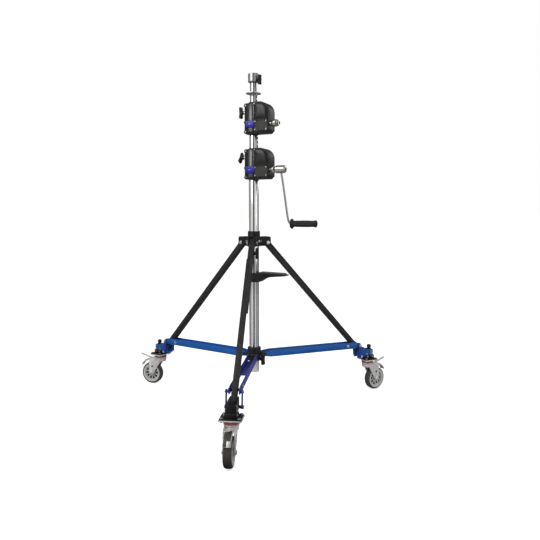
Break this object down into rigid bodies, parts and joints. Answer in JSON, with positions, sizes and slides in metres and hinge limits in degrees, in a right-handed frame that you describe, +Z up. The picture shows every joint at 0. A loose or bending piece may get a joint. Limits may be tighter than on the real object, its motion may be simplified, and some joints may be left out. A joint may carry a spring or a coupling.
{
  "type": "crank lighting stand",
  "caption": "Wind-up stage lighting stand: telescopic slotted risers driven by crank gearboxes on a folding tripod with braked casters and a top spigot socket.",
  "frame": {"origin": "column axis on the floor between the three casters", "axes": "+Z up along the column towards the top socket, +X along the crank shafts, +Y completes the right hand"},
  "size_m": [1.3255, 1.4148, 1.67],
  "materials": {
    "chrome": "polished",
    "bright_steel": "satin",
    "black_cast": "painted fine texture",
    "black_gloss": "gloss",
    "dark_plate": "satin",
    "gear_steel": "machined",
    "bronze": "machined",
    "polished_hub": "polished",
    "black_plastic": "moulded",
    "black_paint": "satin powder coat",
    "blue_paint": "gloss powder coat",
    "zinc_steel": "zinc plated",
    "grey_tyre": "matte",
    "grey_hub": "moulded",
    "grey_pedal": "pressed and coated"
  },
  "bodies": {
    "column": {"outer_tube": "chrome", "leg_collar": "black_cast", "leg_pivot_bolts": "bright_steel", "side_shelf": "black_cast", "lower_gear_case": "black_cast", "lower_gear_cover": "black_gloss", "lower_worm_cover": "dark_plate", "lower_case_bolts": "bright_steel"},
    "middle_riser": {"middle_tube": "chrome", "upper_gear_case": "black_cast", "upper_gear_cover": "black_gloss", "upper_worm_cover": "dark_plate", "upper_case_bolts": "bright_steel"},
    "top_riser": {"top_tube": "chrome", "stop_flange": "bright_steel", "top_socket": "bright_steel"},
    "lower_sprocket_shaft": {"lower_drive_sprocket": "gear_steel", "lower_worm_wheel": "bronze"},
    "upper_sprocket_shaft": {"upper_drive_sprocket": "gear_steel", "upper_worm_wheel": "bronze"},
    "lower_worm": {"lower_worm_shaft": "gear_steel", "lower_crank_hub": "polished_hub", "crank_arm": "polished_hub"},
    "upper_worm": {"upper_worm_shaft": "gear_steel", "upper_crank_hub": "polished_hub"},
    "crank_grip": {"crank_grip": "black_plastic"},
    "socket_lock_knob": {"socket_lock_knob": "black_plastic"},
    "upper_lock_knob": {"upper_lock_knob": "black_plastic"},
    "lower_lock_knob": {"lower_lock_knob": "black_plastic"},
    "levelling_knob": {"levelling_knob": "black_plastic"},
    "collar_lock_knob": {"collar_lock_knob": "black_plastic"},
    "brace_collar": {"brace_collar": "black_cast"},
    "front_leg": {"front_leg_upper": "black_paint", "front_leg_lower": "black_paint"},
    "right_leg": {"right_leg": "black_paint"},
    "left_leg": {"left_leg": "black_paint"},
    "front_brace": {"front_brace": "blue_paint"},
    "front_foot": {"front_caster_carrier": "blue_paint", "front_caster_socket": "black_cast"},
    "front_links": {"front_foot_links": "blue_paint"},
    "front_fork": {"front_caster_fork": "zinc_steel"},
    "front_wheel": {"front_tyre": "grey_tyre", "front_wheel_hub": "grey_hub"},
    "front_pedal": {"front_brake_pedal": "grey_pedal"},
    "right_brace": {"right_brace": "blue_paint"},
    "right_foot": {"right_caster_carrier": "blue_paint", "right_caster_socket": "black_cast"},
    "right_links": {"right_foot_links": "blue_paint"},
    "right_fork": {"right_caster_fork": "zinc_steel"},
    "right_wheel": {"right_tyre": "grey_tyre", "right_wheel_hub": "grey_hub"},
    "right_pedal": {"right_brake_pedal": "grey_pedal"},
    "left_brace": {"left_brace": "blue_paint"},
    "left_foot": {"left_caster_carrier": "blue_paint", "left_caster_socket": "black_cast"},
    "left_links": {"left_foot_links": "blue_paint"},
    "left_fork": {"left_caster_fork": "zinc_steel"},
    "left_wheel": {"left_tyre": "grey_tyre", "left_wheel_hub": "grey_hub"},
    "left_pedal": {"left_brake_pedal": "grey_pedal"}
  },
  "joints": [
    {"name": "middle_riser_slide", "type": "slide", "parent": "column", "child": "middle_riser", "axis": [0, 0, 1], "range_m": [0, 0.86]},
    {"name": "top_riser_slide", "type": "slide", "parent": "middle_riser", "child": "top_riser", "axis": [0, 0, 1], "range_m": [0, 0.98]},
    {"name": "lower_sprocket_turn", "type": "hinge", "parent": "column", "child": "lower_sprocket_shaft", "pos_m": [0.04253, 0, 1.238], "axis": [0, 1, 0], "range_deg": [0, 2212.43]},
    {"name": "lower_crank_turn", "type": "hinge", "parent": "column", "child": "lower_worm", "pos_m": [0.1, -0.021, 1.201], "axis": [1, 0, 0], "range_deg": [-53104.3, 0]},
    {"name": "upper_sprocket_turn", "type": "hinge", "parent": "middle_riser", "child": "upper_sprocket_shaft", "pos_m": [0.03903, 0, 1.459], "axis": [0, 1, 0], "range_deg": [0, 2521]},
    {"name": "upper_crank_turn", "type": "hinge", "parent": "middle_riser", "child": "upper_worm", "pos_m": [0.1, -0.021, 1.422], "axis": [1, 0, 0], "range_deg": [-60510, 0]},
    {"name": "crank_grip_spin", "type": "hinge", "parent": "lower_worm", "child": "crank_grip", "pos_m": [0.25, -0.021, 0.939], "axis": [1, 0, 0], "continuous": true},
    {"name": "socket_knob_turn", "type": "hinge", "parent": "top_riser", "child": "socket_lock_knob", "pos_m": [0, 0, 1.636], "axis": [0.9397, -0.342, 0], "range_deg": [0, 360]},
    {"name": "upper_knob_turn", "type": "hinge", "parent": "middle_riser", "child": "upper_lock_knob", "pos_m": [-0.05, 0, 1.487], "axis": [-1, 0, 0], "range_deg": [0, 360]},
    {"name": "lower_knob_turn", "type": "hinge", "parent": "column", "child": "lower_lock_knob", "pos_m": [-0.05, 0, 1.266], "axis": [-1, 0, 0], "range_deg": [0, 360]},
    {"name": "levelling_knob_turn", "type": "hinge", "parent": "front_leg", "child": "levelling_knob", "pos_m": [0.03704, -0.10178, 0.79589], "axis": [0.9397, 0.342, 0], "range_deg": [0, 360]},
    {"name": "collar_knob_turn", "type": "hinge", "parent": "brace_collar", "child": "collar_lock_knob", "pos_m": [0, 0, 0.252], "axis": [0.9848, -0.1736, 0], "range_deg": [0, 360]},
    {"name": "tripod_fold", "type": "slide", "parent": "column", "child": "brace_collar", "axis": [0, 0, 1], "range_m": [0, 0.3367]},
    {"name": "front_leg_fold", "type": "hinge", "parent": "column", "child": "front_leg", "pos_m": [0.02326, -0.0639, 0.843], "axis": [0.9397, 0.342, 0], "range_deg": [0, 39.56]},
    {"name": "front_brace_fold", "type": "hinge", "parent": "brace_collar", "child": "front_brace", "pos_m": [0.01573, -0.04323, 0.272], "axis": [0.9397, 0.342, 0], "range_deg": [0, 82.86]},
    {"name": "front_foot_level", "type": "hinge", "parent": "front_leg", "child": "front_foot", "pos_m": [0.21852, -0.60037, 0.2203], "axis": [0.9397, 0.342, 0], "range_deg": [-39.56, 0]},
    {"name": "front_link_swing", "type": "hinge", "parent": "front_foot", "child": "front_links", "pos_m": [0.21376, -0.58731, 0.204], "axis": [0.9397, 0.342, 0], "range_deg": [0, 19.93]},
    {"name": "front_caster_swivel", "type": "hinge", "parent": "front_foot", "child": "front_fork", "pos_m": [0.23531, -0.64651, 0], "axis": [0, 0, 1], "continuous": true},
    {"name": "front_wheel_spin", "type": "hinge", "parent": "front_fork", "child": "front_wheel", "pos_m": [0.25378, -0.69725, 0.0625], "axis": [0.9397, 0.342, 0], "continuous": true},
    {"name": "front_pedal_press", "type": "hinge", "parent": "front_fork", "child": "front_pedal", "pos_m": [0.25036, -0.68785, 0.143], "axis": [0.9397, 0.342, 0], "range_deg": [0, 5]},
    {"name": "right_leg_fold", "type": "hinge", "parent": "column", "child": "right_leg", "pos_m": [0.04371, 0.05209, 0.843], "axis": [-0.766, 0.6428, 0], "range_deg": [0, 39.56]},
    {"name": "right_brace_fold", "type": "hinge", "parent": "brace_collar", "child": "right_brace", "pos_m": [0.02957, 0.03524, 0.272], "axis": [-0.766, 0.6428, 0], "range_deg": [0, 82.86]},
    {"name": "right_foot_level", "type": "hinge", "parent": "right_leg", "child": "right_foot", "pos_m": [0.41068, 0.48942, 0.2203], "axis": [-0.766, 0.6428, 0], "range_deg": [-39.56, 0]},
    {"name": "right_link_swing", "type": "hinge", "parent": "right_foot", "child": "right_links", "pos_m": [0.40174, 0.47878, 0.204], "axis": [-0.766, 0.6428, 0], "range_deg": [0, 19.93]},
    {"name": "right_caster_swivel", "type": "hinge", "parent": "right_foot", "child": "right_fork", "pos_m": [0.44224, 0.52704, 0], "axis": [0, 0, 1], "continuous": true},
    {"name": "right_wheel_spin", "type": "hinge", "parent": "right_fork", "child": "right_wheel", "pos_m": [0.47005, 0.57333, 0.0625], "axis": [-0.8572, 0.515, 0], "continuous": true},
    {"name": "right_pedal_press", "type": "hinge", "parent": "right_fork", "child": "right_pedal", "pos_m": [0.4649, 0.56475, 0.143], "axis": [-0.8572, 0.515, 0], "range_deg": [0, 5]},
    {"name": "left_leg_fold", "type": "hinge", "parent": "column", "child": "left_leg", "pos_m": [-0.06697, 0.01181, 0.843], "axis": [-0.1736, -0.9848, 0], "range_deg": [0, 39.56]},
    {"name": "left_brace_fold", "type": "hinge", "parent": "brace_collar", "child": "left_brace", "pos_m": [-0.0453, 0.00799, 0.272], "axis": [-0.1736, -0.9848, 0], "range_deg": [0, 82.86]},
    {"name": "left_foot_level", "type": "hinge", "parent": "left_leg", "child": "left_foot", "pos_m": [-0.62919, 0.11094, 0.2203], "axis": [-0.1736, -0.9848, 0], "range_deg": [-39.56, 0]},
    {"name": "left_link_swing", "type": "hinge", "parent": "left_foot", "child": "left_links", "pos_m": [-0.6155, 0.10853, 0.204], "axis": [-0.1736, -0.9848, 0], "range_deg": [0, 19.93]},
    {"name": "left_caster_swivel", "type": "hinge", "parent": "left_foot", "child": "left_fork", "pos_m": [-0.67755, 0.11947, 0], "axis": [0, 0, 1], "continuous": true},
    {"name": "left_wheel_spin", "type": "hinge", "parent": "left_fork", "child": "left_wheel", "pos_m": [-0.73088, 0.11102, 0.0625], "axis": [0.1564, -0.9877, 0], "continuous": true},
    {"name": "left_pedal_press", "type": "hinge", "parent": "left_fork", "child": "left_pedal", "pos_m": [-0.72101, 0.11259, 0.143], "axis": [0.1564, -0.9877, 0], "range_deg": [0, 5]}
  ],
  "couplings": [
    {"joint": "lower_sprocket_turn", "follows": "middle_riser_slide", "rad_per_m": 44.88},
    {"joint": "lower_crank_turn", "follows": "middle_riser_slide", "rad_per_m": -1077.1},
    {"joint": "upper_sprocket_turn", "follows": "top_riser_slide", "rad_per_m": 44.88},
    {"joint": "upper_crank_turn", "follows": "top_riser_slide", "rad_per_m": -1077.1},
    {"joint": "front_leg_fold", "follows": "tripod_fold", "rad_per_m": 2.0483},
    {"joint": "front_brace_fold", "follows": "tripod_fold", "rad_per_m": 4.2928},
    {"joint": "front_foot_level", "follows": "tripod_fold", "rad_per_m": -2.0483},
    {"joint": "front_link_swing", "follows": "tripod_fold", "rad_per_m": 1.0307},
    {"joint": "right_leg_fold", "follows": "tripod_fold", "rad_per_m": 2.0483},
    {"joint": "right_brace_fold", "follows": "tripod_fold", "rad_per_m": 4.2928},
    {"joint": "right_foot_level", "follows": "tripod_fold", "rad_per_m": -2.0483},
    {"joint": "right_link_swing", "follows": "tripod_fold", "rad_per_m": 1.0307},
    {"joint": "left_leg_fold", "follows": "tripod_fold", "rad_per_m": 2.0483},
    {"joint": "left_brace_fold", "follows": "tripod_fold", "rad_per_m": 4.2928},
    {"joint": "left_foot_level", "follows": "tripod_fold", "rad_per_m": -2.0483},
    {"joint": "left_link_swing", "follows": "tripod_fold", "rad_per_m": 1.0307}
  ]
}
